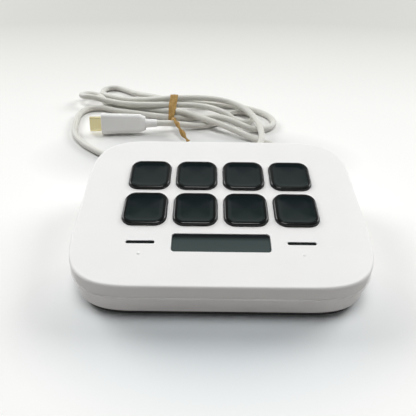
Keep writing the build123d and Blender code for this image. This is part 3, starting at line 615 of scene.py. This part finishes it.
def case_loop(outset):
    """The case's outline in the deck's plane, moved out: points on its corners' curves alone."""
    x = case_width / 2 + outset
    y = case_depth / 2 + outset
    reach = corner_reach + outset
    handle = reach * (1 - corner_pull)
    loop = []
    for sx, sy, backwards in ((1, 1, False), (-1, 1, True), (-1, -1, False), (1, -1, True)):
        controls = [(x, y - reach), (x, y - handle), (x - handle, y), (x - reach, y)]
        if backwards:
            controls.reverse()
        for step in range(17):
            t = step / 16
            weights = [(1 - t) ** 3, 3 * t * (1 - t) ** 2, 3 * t * t * (1 - t), t ** 3]
            across = sum(w * point[0] for w, point in zip(weights, controls))
            along = sum(w * point[1] for w, point in zip(weights, controls))
            loop.append(deck_across * (sx * across) + deck_up * (sy * along))
    return loop


seam_middle = Vector((0, 0, deck_height - seam_depth))
bead_rings = []
for spot, outer in zip(case_loop(0.0), case_loop(0.1)):
    out = (outer - spot).normalized() * bead_out
    up = deck_normal * bead_up
    turned = [out * math.cos(angle) + up * math.sin(angle) for angle in angles(12)]
    bead_rings.append([seam_middle + spot + side for side in turned])
seam = tube_piece("seam_line", [bead_rings], closed=True)
settle(seam, "case", "case_white")

# ---- sprung domes under the keys -------------------------------------------------------
membrane_depth = 4.8
dome_reach = 7.58        # from a key's middle to each of its four domes
dome_profile = [(0.38, 1.29), (0.5, 1.2), (0.56, 1.0), (0.6, 0.7), (0.68, 0.4), (0.8, 0.14), (0.86, 0.0)]


def circle(radius, count):
    """Offsets round a circle in the deck's plane."""
    return [radius * (deck_across * math.cos(t) + deck_up * math.sin(t)) for t in angles(count)]


for number in range(1, 9):
    middle = key_middle(number) - deck_normal * membrane_depth
    four_domes = [
        [
            [middle + place + deck_normal * height + spot for spot in circle(radius, 20)]
            for radius, height in dome_profile
        ]
        for place in circle(dome_reach, 4)
    ]
    domes = tube_piece(f"domes_{number}", four_domes)
    settle(domes, "case", "membrane")
    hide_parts(f"key_domes_{number}")
    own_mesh(domes)

# ---- floor -----------------------------------------------------------------------------
floor_shape = bmesh.new()
bmesh.ops.create_grid(floor_shape, x_segments=4, y_segments=4, size=3.0)
floor = mesh_object("floor", floor_shape)
ground = Finish("ground", 0.7, Specular_IOR_Level=0.2)
# a painted shadow of the case, bluish grey, in front of it; pale round it and greyer far off
front_shadow_oval = ground.measured((0.0, -0.037, 0.0), (8.0, 14.0, 0.0))
floor_tones = [
    (0.03, (0.74, 0.79, 0.815)), (0.1, (0.95, 0.95, 0.935)),
    (0.42, (0.85, 0.85, 0.83)), (0.85, (0.6, 0.605, 0.575)),
]
wide = ground.ramp(ground.mapped(front_shadow_oval, (0.0, 6.0)), floor_tones)
# shaded between the case and the hank
back_oval = ground.measured((-0.012, 0.066, 0.0), (11.0, 26.0, 0.0))
shade = ground.ramp(back_oval, [(0.25, (0.68, 0.7, 0.71)), (1.0, (1.0, 1.0, 1.0))])
seen_floor = ground.blended(1.0, wide, shade, "MULTIPLY")
# the light that it throws back on the walls is a little less than what it shows
shown = ground.shown()
ground.painted(ground.blended(shown, (0.66, 0.635, 0.62, 1), seen_floor))
# far off, where the lamps don't reach, it stays pale behind the object
far = ground.mapped(ground.measured(), (0.45, 1.6), (0.0, 0.72), "SMOOTHSTEP")
ground.shader.inputs["Emission Color"].default_value = (1, 1, 0.98, 1)
ground.feed(ground.shader.inputs["Emission Strength"], ground.maths("MULTIPLY", far, shown))
floor.data.materials.append(ground.material)


# ---- light -----------------------------------------------------------------------------
def area_light(name, place, size, energy):
    """A round lamp in metres, turned to the object."""
    data = bpy.data.lights.new(name, "AREA")
    data.shape = "DISK"
    data.size = size
    data.energy = energy
    lamp = add_object(name, data)
    lamp.location = place
    target = Vector((0, 0.03, 0))
    lamp.rotation_euler = (target - Vector(place)).to_track_quat("-Z", "Y").to_euler()


# none stands where the keys would mirror it to the camera
area_light("back_left", (-0.78, 0.55, 0.62), 0.6, 6.1)
area_light("back_right", (0.78, 0.5, 0.62), 0.6, 5.8)
area_light("over", (0.0, -0.02, 1.0), 0.4, 3.7)

world = bpy.data.worlds.new("world")
world.use_nodes = True
sky = Shading(world.node_tree)
toward = sky.node("ShaderNodeTexCoord").outputs["Generated"]
rise = sky.axis(toward, "Z")
# dim light from all round, and more from behind, below the height that the dishes' backs mirror
low = sky.mapped(rise, (0.86, 0.74), curve="SMOOTHSTEP")
behind = sky.mapped(sky.axis(toward, "Y"), (-0.1, 0.3), curve="SMOOTHSTEP")
light = sky.mapped(sky.maths("MULTIPLY", low, behind), target=(0.07, 0.5))
# a pale horizon, for what is seen of it
horizon = sky.maths("MULTIPLY", sky.shown(), sky.mapped(rise, (0.6, 0.25), (0.0, 0.85)))
background = sky.tree.nodes["Background"]
background.inputs["Color"].default_value = (1, 1, 1, 1)
sky.feed(background.inputs["Strength"], sky.maths("MAXIMUM", horizon, light))
scene.world = world
scene.view_settings.view_transform = "Standard"

bpy.context.view_layer.update()
